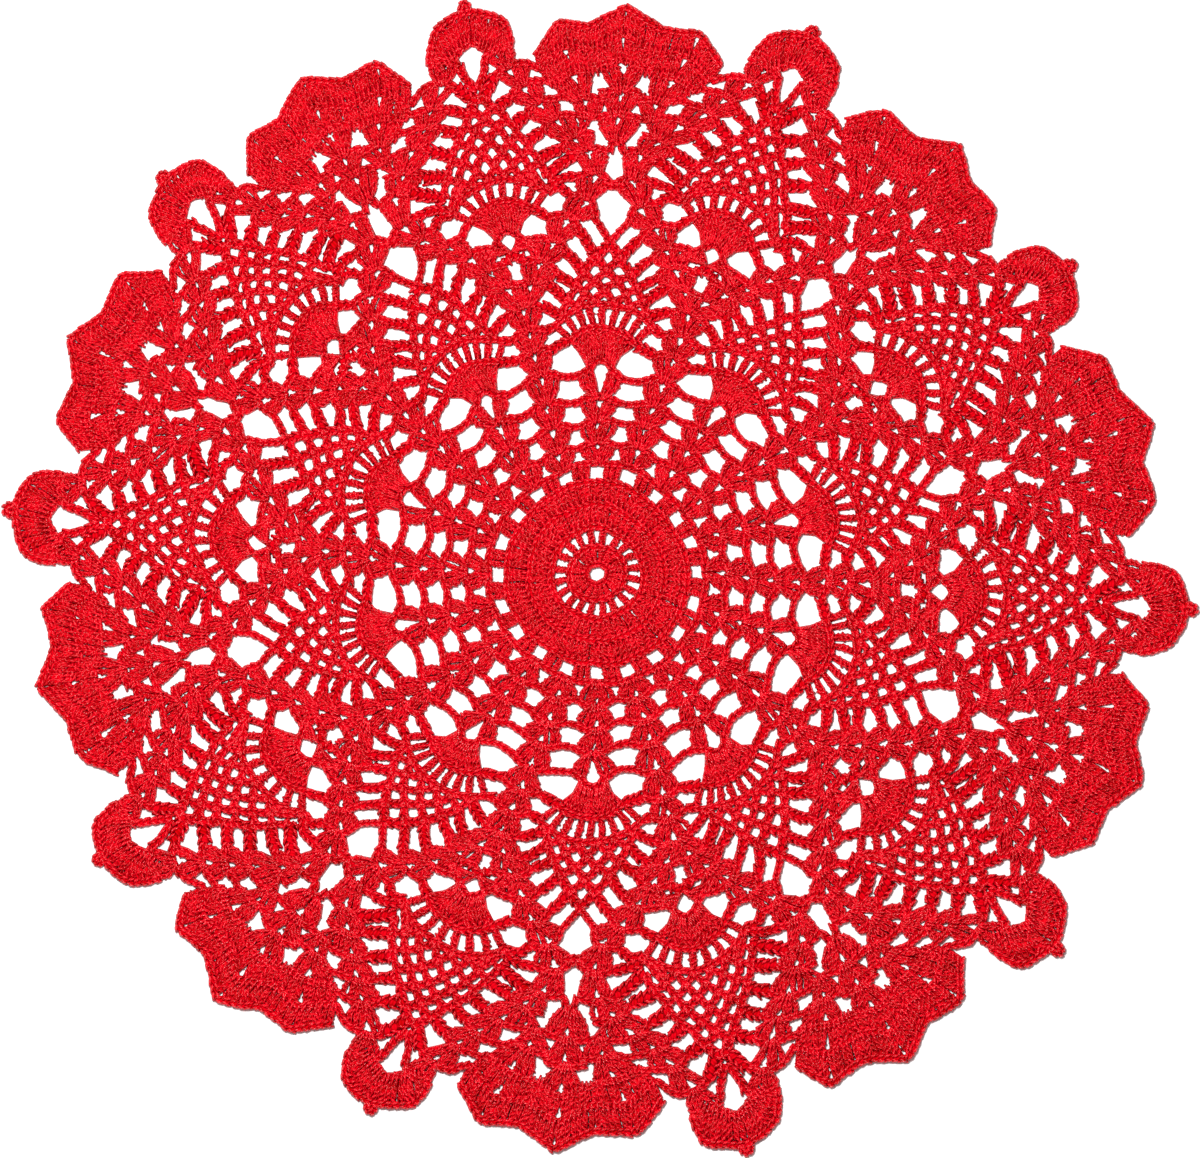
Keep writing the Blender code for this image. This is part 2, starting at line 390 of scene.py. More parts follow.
def loop_rows(zone, place, rows, flip, first_round, last_places):
    """The loops of a pineapple. Adds each round's last place, where its side chain starts."""
    for number, row in enumerate(rows[:-1]):
        tops = rows[number + 1]
        full = [(out, -aside) for out, aside in reversed(row) if aside > 0.0] + list(row)
        for start, end in zip(full[:-1], full[1:]):
            middle = (start[1] + end[1]) / 2.0
            if middle < -ON_AXIS:
                continue
            once = abs(middle) < ON_AXIS
            top = min(tops, key=lambda point: abs(point[1] - middle))
            path = through(place(*start), place(*top), place(*end))
            width = LOOP_WIDTH + (LAST_LOOP_WIDTH - LOOP_WIDTH) * (number / (len(rows) - 2.0)) ** 2
            zone.chain(path[::-1] if flip else path, once=once, length=LOOP_LINK, width=width)
        last_places[first_round + number] = place(*row[-1])
    last_places[first_round + len(rows) - 1] = place(*rows[-1][0])


# -------------------------------- columns of shells, rounds 9 to 26

# The chain space of each round's shell in the column between an inner and an outer pineapple, with the
# posts on both of its sides and their pitch, how far it is turned from across its posts to along its
# round, and how steeply its near side falls. One has feet that spread more and posts that bow less. The
# first row is the medallion's last shell, which the next one stands on.
ColumnShell = namedtuple("ColumnShell", "round bearing radius near far pitch turn slope spread bow",
                         defaults=(FOOT_SPREAD, BOW))
COLUMN = (
    ColumnShell(9, 18.0, 76.6, 3, None, 1.85, 0.5, 0.0),
    ColumnShell(10, 18.0, 86.3, 3, None, 1.85, 0.5, 0.0),
    ColumnShell(11, 18.0, 94.9, 3, None, 1.85, 0.5, 0.0),
    ColumnShell(12, 18.0, 104.4, 3, None, 1.85, 0.5, 0.0),
    ColumnShell(13, 15.7, 112.6, 3, 2, 1.85, 0.8, 0.0),
    ColumnShell(14, 13.1, 119.3, 4, 3, 1.85, 0.6, 0.15),
    ColumnShell(15, 10.2, 126.3, 3, 4, 1.85, 0.5, 0.2),
    ColumnShell(16, 7.4, 133.8, 3, 3, 1.85, 0.5, 0.3),
    ColumnShell(17, 4.1, 140.6, 3, 3, 1.80, 0.5, 0.55),
    ColumnShell(18, 2.8, 150.2, 3, 3, 1.85, 0.5, 0.15),
    ColumnShell(19, 3.6, 160.2, 4, 3, 1.35, 0.5, 0.0, 0.95, 0.25),
    ColumnShell(20, 5.7, 166.4, 3, 3, 1.85, 0.5, 0.0),
    ColumnShell(21, 8.1, 173.8, 5, 3, 1.85, 0.5, 0.0),
    ColumnShell(22, 10.35, 180.2, 3, 3, 1.85, 0.5, 0.0),
    ColumnShell(23, 12.05, 187.0, 3, 3, 1.85, 0.5, 0.0),
    ColumnShell(24, 14.0, 195.6, 3, 2, 1.85, 0.5, 0.0),
    ColumnShell(25, 15.1, 203.2, 3, 2, 1.65, 0.4, 0.0),
)

# The shells of the fan between two outer pineapples, in its middle and beside that: their chain space,
# the posts on each side, their pitch, and how steeply their heads fall away.
FanShell = namedtuple("FanShell", "round bearing radius near far pitch near_slope far_slope")
FAN_MIDDLE = (
    FanShell(21, 0.0, 173.9, None, 4, 1.7, 0.0, 0.0),
    FanShell(22, 0.0, 184.0, None, 3, 2.0, 0.0, 0.05),
    FanShell(23, 0.0, 195.2, None, 3, 2.3, 0.0, 0.15),
)
FAN_SIDE = (
    FanShell(22, 4.3, 180.5, 3, 2, 1.9, 0.0, 0.0),
    FanShell(23, 5.65, 190.1, 3, 4, 2.0, 0.0, 0.05),
)
# The heads of the fan's last rounds, from its middle to its side: bearing and radius. Their chain spaces
# are at the first and third place.
FAN_LINES = {
    23: ((0.0, 197.0), (2.7, 192.0), (5.4, 192.4), (8.8, 187.0)),
    24: ((0.0, 208.0), (3.3, 201.0), (6.9, 202.2), (10.0, 193.4)),
    25: ((0.0, 218.4), (3.8, 210.4), (7.8, 211.8), (10.6, 200.2)),
}
# How many posts they have, and how far these part at a chain space.
FAN_ROUND_POSTS = {24: 17, 25: 19}
FAN_ROUND_PARTED = {24: PARTED, 25: 1.7}
# Bearing and radius of the chain spaces that the fan's first shells stand on.
FAN_MIDDLE_FOOT = (0.0, 164.4)
FAN_SIDE_FOOT = (4.1, 173.2)
FAN_DROOP = 0.02
FAN_FOOT_SPREAD = 0.95
FAN_SHELL_BOW = 0.5
FAN_BULGE = -0.3            # of the chains between the fan's middle and side shells
FAN_SIDE_BULGE = 1.2        # and of those from the fan to the column
# The chains over the heart gap, out and aside, and over the gap past it, bearing and radius.
HEART_CHAIN = ((146.9, 0.0), (147.5, 4.2))
JUNCTION_CHAIN = ((0.0, 166.4), (0.5, 165.6))
JUNCTION_WIDTH = 1.1

# Rounds 13 and 14 on the outer axis, where the chains from both columns meet, and after them the radius of
# the foot and of the space of the shell that the outer pineapple's base stands on.
PartingRound = namedtuple("PartingRound", "round radius bulge width")
PARTING_ROUNDS = (PartingRound(13, 114.6, 0.2, 1.0), PartingRound(14, 124.0, 1.9, 1.7))
V_STITCH_FOOT = 124.0
V_STITCH_PLACE = 130.3


def column_shells(zones):
    """The shells of the column, round by round."""
    made = {}
    for last, spot in zip(COLUMN[:-1], COLUMN[1:]):
        zone = zones[zone_name(spot.round)]
        foot = polar(last.bearing, last.radius)
        place = polar(spot.bearing, spot.radius)
        made[spot.round] = shell(zone, foot, place, spot.near, spot.far, spot.pitch, spot.turn,
                                 slopes=(spot.slope, 0.0), foot_spread=spot.spread, more_bow=spot.bow)
    return made


def pineapples(zones, column):
    """Both pineapples with their bases, loops and side chains."""
    def on_inner(out, aside):
        return np.array((out, aside), float)

    starts = {}
    base_rounds(zones, on_inner, INNER_BASE, INNER_ROUND, False, starts)
    loop_rows(zones["lace_inner_pineapples"], on_inner, INNER_LOOPS, False, INNER_LOOP_ROUND, starts)
    last = max(starts)
    for number in range(INNER_ROUND, last):
        bulge = INNER_BULGES.get(number, SIDE_BULGE)
        zones[zone_name(number)].chain(bulged(starts[number], column[number].before, bulge), width=SIDE_CHAIN)
    zones[zone_name(last)].chain([polar(0.0, INNER_TOP), column[last].before])

    ends = {}
    base_rounds(zones, by_outer_axis, OUTER_BASE, OUTER_ROUND, True, ends)
    loop_rows(zones["lace_outer_pineapples"], by_outer_axis, OUTER_LOOPS, True, OUTER_LOOP_ROUND, ends)
    ends.update({number: by_outer_axis(*place) for number, place in OUTER_ENDS.items()})
    for number in range(OUTER_ROUND, max(OUTER_ENDS) + 1):
        bulge = OUTER_BULGES.get(number, SIDE_BULGE)
        width = LATE_SIDE_CHAIN if number >= LATE_ROUND else OUTER_SIDE_CHAIN
        zones[zone_name(number)].chain(bulged(column[number].after, ends[number], bulge), width=width)
    tip_chain = [column[25].after] + [by_outer_axis(*place) for place in TIP_CHAIN]
    zones[zone_name(25)].chain(tip_chain, width=JOINING_CHAIN)


def between_outer_shells(zones, column):
    """Rounds 13 to 15 on the outer axis, from where the column parts to the outer pineapple's base."""
    for spot in PARTING_ROUNDS:
        meeting = polar(HALF_REPEAT, spot.radius)
        path = bulged(column[spot.round].after, meeting, spot.bulge)
        zones[zone_name(spot.round)].chain(path, width=spot.width)
    zone = zones[zone_name(15)]
    v_stitch = shell(zone, polar(HALF_REPEAT, V_STITCH_FOOT), polar(HALF_REPEAT, V_STITCH_PLACE), near=4,
                     far=None, pitch=1.9, space=3.5, slopes=(0.25, 0.0), first_bow=0.5, arch=2.0)
    zone.chain(bulged(column[15].after, v_stitch.before, SIDE_BULGE))


def fan_shells(zones, first_foot, spots):
    """The fan's shells over one foot, each on the one before it, with their rounds."""
    foot = polar(*first_foot)
    for spot in spots:
        place = polar(spot.bearing, spot.radius)
        made = shell(zones[zone_name(spot.round)], foot, place, spot.near, spot.far, spot.pitch,
                     slopes=(spot.near_slope, spot.far_slope), droop=FAN_DROOP,
                     foot_spread=FAN_FOOT_SPREAD, more_bow=FAN_SHELL_BOW)
        yield spot.round, made
        foot = made.place


def heart_and_fan(zones, column):
    """The rounds on the inner axis past the inner pineapple: the heart gap's top, the junction and fan."""
    zones[zone_name(18)].chain(HEART_CHAIN, width=JOINING_CHAIN)
    junction = [polar(*place) for place in JUNCTION_CHAIN] + [column[19].before]
    zones[zone_name(20)].chain(junction, width=JUNCTION_WIDTH)
    lefts = {}
    for number, middle in fan_shells(zones, FAN_MIDDLE_FOOT, FAN_MIDDLE):
        lefts[number] = middle.after
    for number, side in fan_shells(zones, FAN_SIDE_FOOT, FAN_SIDE):
        zones[zone_name(number)].chain(bulged(lefts[number], side.before, FAN_BULGE))
        lefts[number] = side.after
    for number, left in lefts.items():
        zones[zone_name(number)].chain(bulged(left, column[number].before, FAN_SIDE_BULGE))
    lines = {number: [polar(*place) for place in line] for number, line in FAN_LINES.items()}
    for number, count in FAN_ROUND_POSTS.items():
        line = lines[number]
        filled(zones[zone_name(number)], lines[number - 1], line, count, line[::2],
               parted=FAN_ROUND_PARTED[number])
    zones[zone_name(24)].chain(bulged(lines[24][-1], column[24].before, 0.0))


# The tip's cap, out along the outer axis and aside from it, from its side to its middle.
CAP_UNDER = ((201.2, 14.0), (204.2, 7.6), (207.6, 3.8), (209.6, 0.0))
CAP_OVER = ((204.6, 16.6), (210.2, 15.9), (215.9, 13.7), (218.7, 9.2), (220.4, 4.0), (221.2, 0.0))
CAP_POSTS = 10              # from its side to its middle
CAP_FOOT_WIDTH = 2.0
CAP_HEAD_WIDTH = 3.1
PICOT = ((220.8, 1.5), (223.2, 1.8), (224.6, 0.9), (224.8, 0.0))
PICOT_LINK = 1.8            # the length of one of its links
PICOT_WIDTH = 0.9


def tips(zones, column):
    """The cap of each tip, over the hole between the two columns that meet there, and its picot."""
    zone = zones[zone_name(26)]
    under = [by_outer_axis(*place) for place in CAP_UNDER]
    over = [by_outer_axis(*place) for place in CAP_OVER]
    zone.chain(under[1:])
    filled(zone, under, over, CAP_POSTS, foot_width=CAP_FOOT_WIDTH, top_width=CAP_HEAD_WIDTH, to_axis=True)
    zone.chain([column[25].before, over[0]])
    zone.chain([by_outer_axis(*place) for place in PICOT], length=PICOT_LINK, width=PICOT_WIDTH)


# -------------------------------- from the chart to the uneven work

def around(bearing, values):
    """The value at each bearing, between values that are evenly spaced from the first axis on."""
    values = np.asarray(values)
    steps = (bearing - FIRST_AXIS) / 360.0 * len(values)
    before = np.floor(steps).astype(int)
    share = (1.0 - np.cos(np.pi * (steps - before))) / 2.0
    return values[before % len(values)] * (1.0 - share) + values[(before + 1) % len(values)] * share


RING_TURNS = [repeat.ring_turn for repeat in REPEATS]
HEART_TURNS = [repeat.heart_turn for repeat in REPEATS]
HEART_REACHES = [repeat.heart_reach for repeat in REPEATS]
EDGE_TURNS = [turn for repeat in REPEATS for turn in (repeat.fan_turn, repeat.tip_turn)]
EDGE_REACHES = [reach for repeat in REPEATS for reach in (repeat.fan_reach, repeat.tip_reach)]


def worked(places):
    """Where places of the even design lie in the uneven work, as the part has them."""
    bearing = np.degrees(np.arctan2(places[..., 1], places[..., 0]))
    radius = np.linalg.norm(places[..., :2], axis=-1)
    ring_turn = around(bearing, RING_TURNS)
    heart_turn = around(bearing, HEART_TURNS)
    heart_reach = around(bearing, HEART_REACHES)
    inner = np.clip((radius - STEADY_RADIUS) / (RING_RADIUS - STEADY_RADIUS), 0.0, 1.0)
    middle = np.clip((radius - RING_RADIUS) / (HEART_RADIUS - RING_RADIUS), 0.0, 1.0)
    outer = np.maximum((radius - HEART_RADIUS) / (EDGE_RADIUS - HEART_RADIUS), 0.0)
    turn = ring_turn * inner + (heart_turn - ring_turn) * middle
    turn += (around(bearing, EDGE_TURNS) - heart_turn) * outer
    reach = heart_reach * middle + (around(bearing, EDGE_REACHES) - heart_reach) * outer
    flat = polar(bearing + turn, radius + reach)
    return np.concatenate([flat, places[..., 2:]], axis=-1)


# How the work drifts: the wavelength and the size of the shift in millimetres, and how many waves make it.
Drift = namedtuple("Drift", "wavelength size waves")
DRIFTS = (Drift(46.0, 0.55, 7), Drift(17.0, 0.28, 9))


def loosened(places):
    """The pull of the hands: the whole work drifts a little, over long and short distances. Each call
    draws the same waves, so that places which meet stay together."""
    random = np.random.default_rng(SEED + 1)
    flat = places[..., :2]
    shift = np.zeros_like(flat)
    for drift in DRIFTS:
        for _ in range(drift.waves):
            way = polar(random.uniform(0.0, 360.0), 2.0 * np.pi / drift.wavelength)
            phase = random.uniform(0.0, 2.0 * np.pi)
            push = polar(random.uniform(0.0, 360.0), drift.size * np.sqrt(2.0 / drift.waves))
            shift += push * np.sin(flat @ way + phase)[..., None]
    return np.concatenate([flat + shift, places[..., 2:]], axis=-1)


def placed(places):
    """Millimetres from the lace's centre to metres in the part's frame."""
    moved = places.copy()
    moved[..., :2] -= BOX_MIDDLE
    return moved * MM


# -------------------------------- the yarn of each stitch

# A strand of a post: the share of the post's height and of its half width, and the height above the
# table in millimetres, at the strand's three points, then the sides of its tube. over is 1 for the
# strand that rises where the post's foot lies over a chain.
Strand = namedtuple("Strand", "heights asides levels sides over", defaults=(0.0,))
POST_STRANDS = (
    Strand((0.02, 0.50, 1.0), (-0.58, -0.62, -0.46), (0.70, 1.25, 1.35), 3),
    Strand((0.02, 0.50, 1.0), (0.58, 0.62, 0.48), (0.70, 1.30, 1.30), 3),
    Strand((-0.12, 0.14, 0.42), (0.0, -0.08, 0.12), (1.20, 1.85, 1.30), 4, 1.0),
    Strand((0.27, 0.40, 0.54), (-0.90, 0.0, 0.90), (0.80, 1.95, 1.00), 4),
    Strand((0.51, 0.64, 0.77), (-0.92, 0.0, 0.92), (0.80, 2.00, 1.05), 4),
    Strand((0.75, 0.87, 0.99), (-0.90, 0.0, 0.90), (0.85, 1.95, 1.10), 4),
)
OVER_LIFT = 0.85            # how much higher a foot lies that goes over a chain
OVER_FALL = 2.2             # it is down again at one part in this many of the post's height
# A leg of a link: the share of its length from its middle, the distance aside in millimetres for a chain
# of the usual width, and the height above the table.
LINK_LEGS = (
    Strand((-0.62, -0.05, 0.64), (0.30, 0.90, 1.12), (1.85, 2.05, 1.15), 4),
    Strand((-0.56, 0.0, 0.68), (-0.30, -0.90, -1.12), (1.80, 2.00, 1.10), 4),
)
# How thick a strand is at its points, as a share of the yarn's radius.
POST_RADII = (0.72, 1.0, 0.72)
LEG_RADII = (0.85, 1.12, 0.85)
# A tube of three sides has a flat one on top, or an edge if it is turned by half a side.
FLAT_TOP, EDGE_TOP = 0.0, 0.5
# What fills a stitch between its strands: height above the table at its points, and half thickness.
Core = namedtuple("Core", "levels thickness turn")
POST_CORE = Core((0.30, 0.85, 0.80), 0.90, FLAT_TOP)
LINK_CORE = Core((1.20, 1.20), 0.85, EDGE_TOP)
CORE_SIDES = 3
POST_CORE_NARROWER = 0.3    # than the post, at its head
LINK_CORE_REACH = 0.55      # from the link's middle to each end of its core, as a share of its length
LINK_CORE_WIDTH = 2.6
# How uneven the stitches are, as standard deviations: where they stand and how high they lie, and a
# strand's shares of height and half width (for a leg its distance aside) and its level.
Play = namedtuple("Play", "place lift height aside level")
POST_PLAY = Play(0.14, 0.10, 0.03, 0.12, 0.12)
POST_TOP_PLAY = 0.16
POST_BOW_PLAY = 0.18
LINK_PLAY = Play(0.10, 0.10, 0.05, 0.10, 0.10)


def whole_round(values, turned, once):
    """Copies of the half repeat's vectors, mirrored and turned to all the repeats.

    values is (count, 2). turned is -1 for vectors that run along a round, because a mirror image of
    a row is worked the other way, and else 1."""
    mirrored = values[~once] * np.array((1.0, -1.0)) * turned
    both = np.concatenate([values, mirrored])
    copies = []
    for number in range(REPEAT_COUNT):
        angle = np.radians(FIRST_AXIS + number * 2.0 * HALF_REPEAT)
        matrix = np.array(((np.cos(angle), np.sin(angle)), (-np.sin(angle), np.cos(angle))))
        copies.append(both @ matrix)
    return np.concatenate(copies)


def repeated(values, once):
    """The same for plain numbers, which stay as they are."""
    return np.tile(np.concatenate([values, values[~once]]), REPEAT_COUNT)


def post_paths(zone, random):
    """The centre lines of the posts' strands, an array of (posts, points, 3) for each, and of their cores."""
    once = np.array([post.once for post in zone.posts])
    foot = whole_round(np.array([post.foot for post in zone.posts]), 1.0, once)
    top = whole_round(np.array([post.top for post in zone.posts]), 1.0, once)
    bow = whole_round(np.array([post.bow for post in zone.posts]), 1.0, once)
    foot_width = repeated(np.array([post.foot_width for post in zone.posts]), once)
    top_width = repeated(np.array([post.top_width for post in zone.posts]), once)
    over = repeated(np.array([post.over for post in zone.posts]), once)
    count = len(foot)
    foot = foot + random.normal(0.0, POST_PLAY.place, foot.shape)
    top = top + random.normal(0.0, POST_TOP_PLAY, top.shape)
    bow = bow + random.normal(0.0, POST_BOW_PLAY, bow.shape)
    lift = random.normal(0.0, POST_PLAY.lift, count)
    aside_way = left_of(unit(top - foot)) * random.choice((-1.0, 1.0), (count, 1))
    paths = []
    for strand in POST_STRANDS:
        size = (count, len(strand.heights))
        heights = np.array(strand.heights) + random.normal(0.0, POST_PLAY.height, size)
        asides = np.array(strand.asides) + random.normal(0.0, POST_PLAY.aside, size)
        width = foot_width[:, None] * (1.0 - heights) + top_width[:, None] * heights
        flat = foot[:, None] * (1.0 - heights[..., None]) + top[:, None] * heights[..., None]
        flat = flat + bow[:, None] * (4.0 * heights * (1.0 - heights))[..., None]
        flat = flat + aside_way[:, None] * (asides * width / 2.0)[..., None]
        rise = strand.over * OVER_LIFT * over[:, None] * np.clip(1.0 - heights * OVER_FALL, 0.0, 1.0)
        level = np.array(strand.levels) + lift[:, None] + rise + random.normal(0.0, POST_PLAY.level, size)
        paths.append((np.concatenate([flat, level[..., None]], axis=-1), strand.sides))
    ends = np.stack([foot, (foot + top) / 2.0 + bow, top], axis=1)
    level = np.tile(np.array(POST_CORE.levels)[:, None], (count, 1, 1))
    core = np.concatenate([ends, level], axis=-1)
    middle_width = (foot_width + top_width) / 2.0
    core_width = np.stack([foot_width, middle_width, top_width - POST_CORE_NARROWER], axis=1)
    return paths, core, core_width


def link_paths(zone, random):
    """The centre lines of the links' legs, an array of (links, points, 3) for each, and of their cores."""
    once = np.array([link.once for link in zone.links])
    middle = whole_round(np.array([link.middle for link in zone.links]), 1.0, once)
    along = whole_round(np.array([link.along for link in zone.links]), -1.0, once)
    width = repeated(np.array([link.width for link in zone.links]), once)
    count = len(middle)
    middle = middle + random.normal(0.0, LINK_PLAY.place, middle.shape)
    lift = random.normal(0.0, LINK_PLAY.lift, count)
    aside_way = left_of(unit(along))
    paths = []
    for leg in LINK_LEGS:
        size = (count, len(leg.heights))
        heights = np.array(leg.heights) + random.normal(0.0, LINK_PLAY.height, size)
        asides = width[:, None] * (np.array(leg.asides) + random.normal(0.0, LINK_PLAY.aside, size))
        flat = middle[:, None] + along[:, None] * heights[..., None] + aside_way[:, None] * asides[..., None]
        level = np.array(leg.levels) + lift[:, None] + random.normal(0.0, LINK_PLAY.level, size)
        paths.append((np.concatenate([flat, level[..., None]], axis=-1), leg.sides))
    ends = np.stack([middle - along * LINK_CORE_REACH, middle + along * LINK_CORE_REACH], axis=1)
    level = np.tile(np.array(LINK_CORE.levels)[:, None], (count, 1, 1))
    core = np.concatenate([ends, level], axis=-1)
    return paths, core, np.stack([width, width], axis=1) * LINK_CORE_WIDTH


# -------------------------------- meshes

class Yarn:
    """Collects tubes and makes one mesh of them."""

    def __init__(self, name):
        self.name = name
        self.points = []
        self.faces = []
        self.face_uvs = []
        self.tones = []
        self.total = 0

    def tubes(self, paths, wide, thick, sides, tones, first_turn=0.0):
        """Adds a closed tube along each path: (count, points, 3) in metres. wide and thick are its half
        sizes across and upwards, for all points or as (points,) or (count, points). tones has a value
        from 0 to 1 for each tube, and first_turn turns its sides by that share of one side."""
        count, length, _ = paths.shape
        ahead = np.empty_like(paths)
        ahead[:, 1:-1] = paths[:, 2:] - paths[:, :-2]
        ahead[:, 0] = paths[:, 1] - paths[:, 0]
        ahead[:, -1] = paths[:, -1] - paths[:, -2]
        ahead = unit(ahead)
        side = unit(np.cross(np.array((0.0, 0.0, 1.0)), ahead))
        up = np.cross(ahead, side)
        wide = np.broadcast_to(wide, (count, length))[..., None, None]
        thick = np.broadcast_to(thick, (count, length))[..., None, None]
        angle = 2.0 * np.pi * (np.arange(sides) + first_turn) / sides
        ring = paths[:, :, None] + side[:, :, None] * np.sin(angle)[:, None] * wide
        ring = ring - up[:, :, None] * np.cos(angle)[:, None] * thick
        ring[..., 2] = np.maximum(ring[..., 2], 0.0)        # the table is under it
        per_tube = length * sides
        points = ring.reshape(count, -1, 3)
        quads = []
        quad_uvs = []
        far = np.concatenate([np.zeros((count, 1)),
                              np.cumsum(np.linalg.norm(np.diff(paths, axis=1), axis=2), axis=1)], axis=1)
        for row in range(length - 1):
            for number in range(sides):
                after = (number + 1) % sides
                quads.append((row * sides + number, row * sides + after,
                              (row + 1) * sides + after, (row + 1) * sides + number))
                quad_uvs.append(((row, number), (row, number + 1), (row + 1, number + 1), (row + 1, number)))
        last = (length - 1) * sides
        ends = [tuple(range(sides))[::-1], tuple(range(last, last + sides))]
        end_uvs = [[(0, number) for number in ends[0]], [(length - 1, number - last) for number in ends[1]]]
        start = self.total + np.arange(count)[:, None, None] * per_tube
        for faces, uvs in ((quads, quad_uvs), (ends, end_uvs)):
            self.faces.append((np.array(faces)[None] + start).reshape(-1, len(faces[0])))
            table = np.array(uvs, float)
            along = far[:, table[..., 0].astype(int)] / MM
            turn = np.broadcast_to(table[..., 1] / sides, along.shape)
            self.face_uvs.append(np.stack([along, turn], axis=-1).reshape(-1, 2))
        self.points.append(points.reshape(-1, 3))
        self.tones.append(np.repeat(tones, per_tube))
        self.total += count * per_tube

    def piece(self, material):
        """The joined mesh as an object of the scene."""
        points = np.concatenate(self.points)
        loops = np.concatenate([faces.reshape(-1) for faces in self.faces])
        sizes = np.concatenate([np.full(len(faces), faces.shape[1]) for faces in self.faces])
        mesh = bpy.data.meshes.new(self.name)
        mesh.vertices.add(len(points))
        mesh.vertices.foreach_set("co", points.astype(np.float32).ravel())
        mesh.loops.add(len(loops))
        mesh.loops.foreach_set("vertex_index", loops.astype(np.int32))
        mesh.polygons.add(len(sizes))
        starts = np.concatenate([[0], np.cumsum(sizes)[:-1]])
        mesh.polygons.foreach_set("loop_start", starts.astype(np.int32))
        mesh.polygons.foreach_set("loop_total", sizes.astype(np.int32))
        mesh.polygons.foreach_set("use_smooth", np.ones(len(sizes), bool))
        layer = mesh.uv_layers.new(name="yarn")
        layer.data.foreach_set("uv", np.concatenate(self.face_uvs).astype(np.float32).ravel())
        tone = mesh.attributes.new("tone", "FLOAT", "POINT")
        tone.data.foreach_set("value", np.concatenate(self.tones).astype(np.float32))
        mesh.update(calc_edges=True)
        mesh.validate()
        item = bpy.data.objects.new(self.name, mesh)
        item.data.materials.append(material)
        bpy.context.scene.collection.objects.link(item)
        return item


def finished(paths):
    """Centre lines of the even design, as worked, in metres."""
    return placed(loosened(worked(paths)))


def make_zone(zone, ground, material, random):
    """One piece of the zone's strands. Their cores go to the ground."""
    yarn = Yarn(zone.name)
    for taken, radii, middle in ((post_paths, POST_RADII, POST_CORE), (link_paths, LEG_RADII, LINK_CORE)):
        strands, core, core_width = taken(zone, random)
        radius = np.array(radii) * YARN_RADIUS * MM
        for paths, sides in strands:
            tones = random.uniform(0.0, 1.0, len(paths))
            turn = EDGE_TOP if sides == 3 else 0.0
            yarn.tubes(finished(paths), radius, radius, sides, tones, turn)
        tones = random.uniform(0.0, 1.0, len(core))
        ground.tubes(finished(core), core_width * 0.5 * MM, middle.thickness * MM, CORE_SIDES, tones,
                     middle.turn)
    return yarn.piece(material)


# -------------------------------- materials

PLY_LENGTH = 1.6            # how far along a strand one ply comes round, in millimetres
PLIES = 2.0
PLY_STRENGTH = 0.75         # of their bump, and its height in metres
PLY_HEIGHT = 0.00020
TONE_SHARE = 0.50           # how much of the colour's unevenness is the strand's own
PLY_GROOVE_SHADE_SHARE = 0.30            # and how much is painted shade in the grooves between two plies
NOISE_SCALE = 260.0         # of the rest of the unevenness
NOISE_DETAIL = 3.0
SHEEN_TINT = (1.0, 0.10, 0.16, 1.0)
SHEEN_ROUGHNESS = 0.45
DEEP_END = 0.25             # the tone up to which the colour is the deep one

Cotton = namedtuple("Cotton", "name deep bright roughness sheen shine")
YARN_LOOK = Cotton("red_cotton", (0.44, 0.0, 0.0, 1.0), (0.90, 0.0, 0.014, 1.0), 0.27, 0.01, 0.52)
# Painted shade: the cores between the strands get a darker, less glossy copy of the yarn's cotton. It stands
# for the shade that falls between the strands.
SHADED_INSIDE_LOOK = Cotton("red_cotton_inside_painted_shade", (0.46, 0.0, 0.0, 1.0), (0.76, 0.0, 0.008, 1.0), 0.9, 0.0, 0.05)
TABLE_COLOR = (0.96, 0.96, 0.96, 1.0)
TABLE_ROUGHNESS = 0.9


def scaled(tree, value, factor, added=None):
    """The output of a node for value times factor, plus added."""
    node = tree.nodes.new("ShaderNodeMath")
    node.operation = "MULTIPLY" if added is None else "MULTIPLY_ADD"
    node.inputs[1].default_value = factor
    tree.links.new(value, node.inputs[0])
    if added is not None:
        tree.links.new(added, node.inputs[2])
    return node.outputs[0]


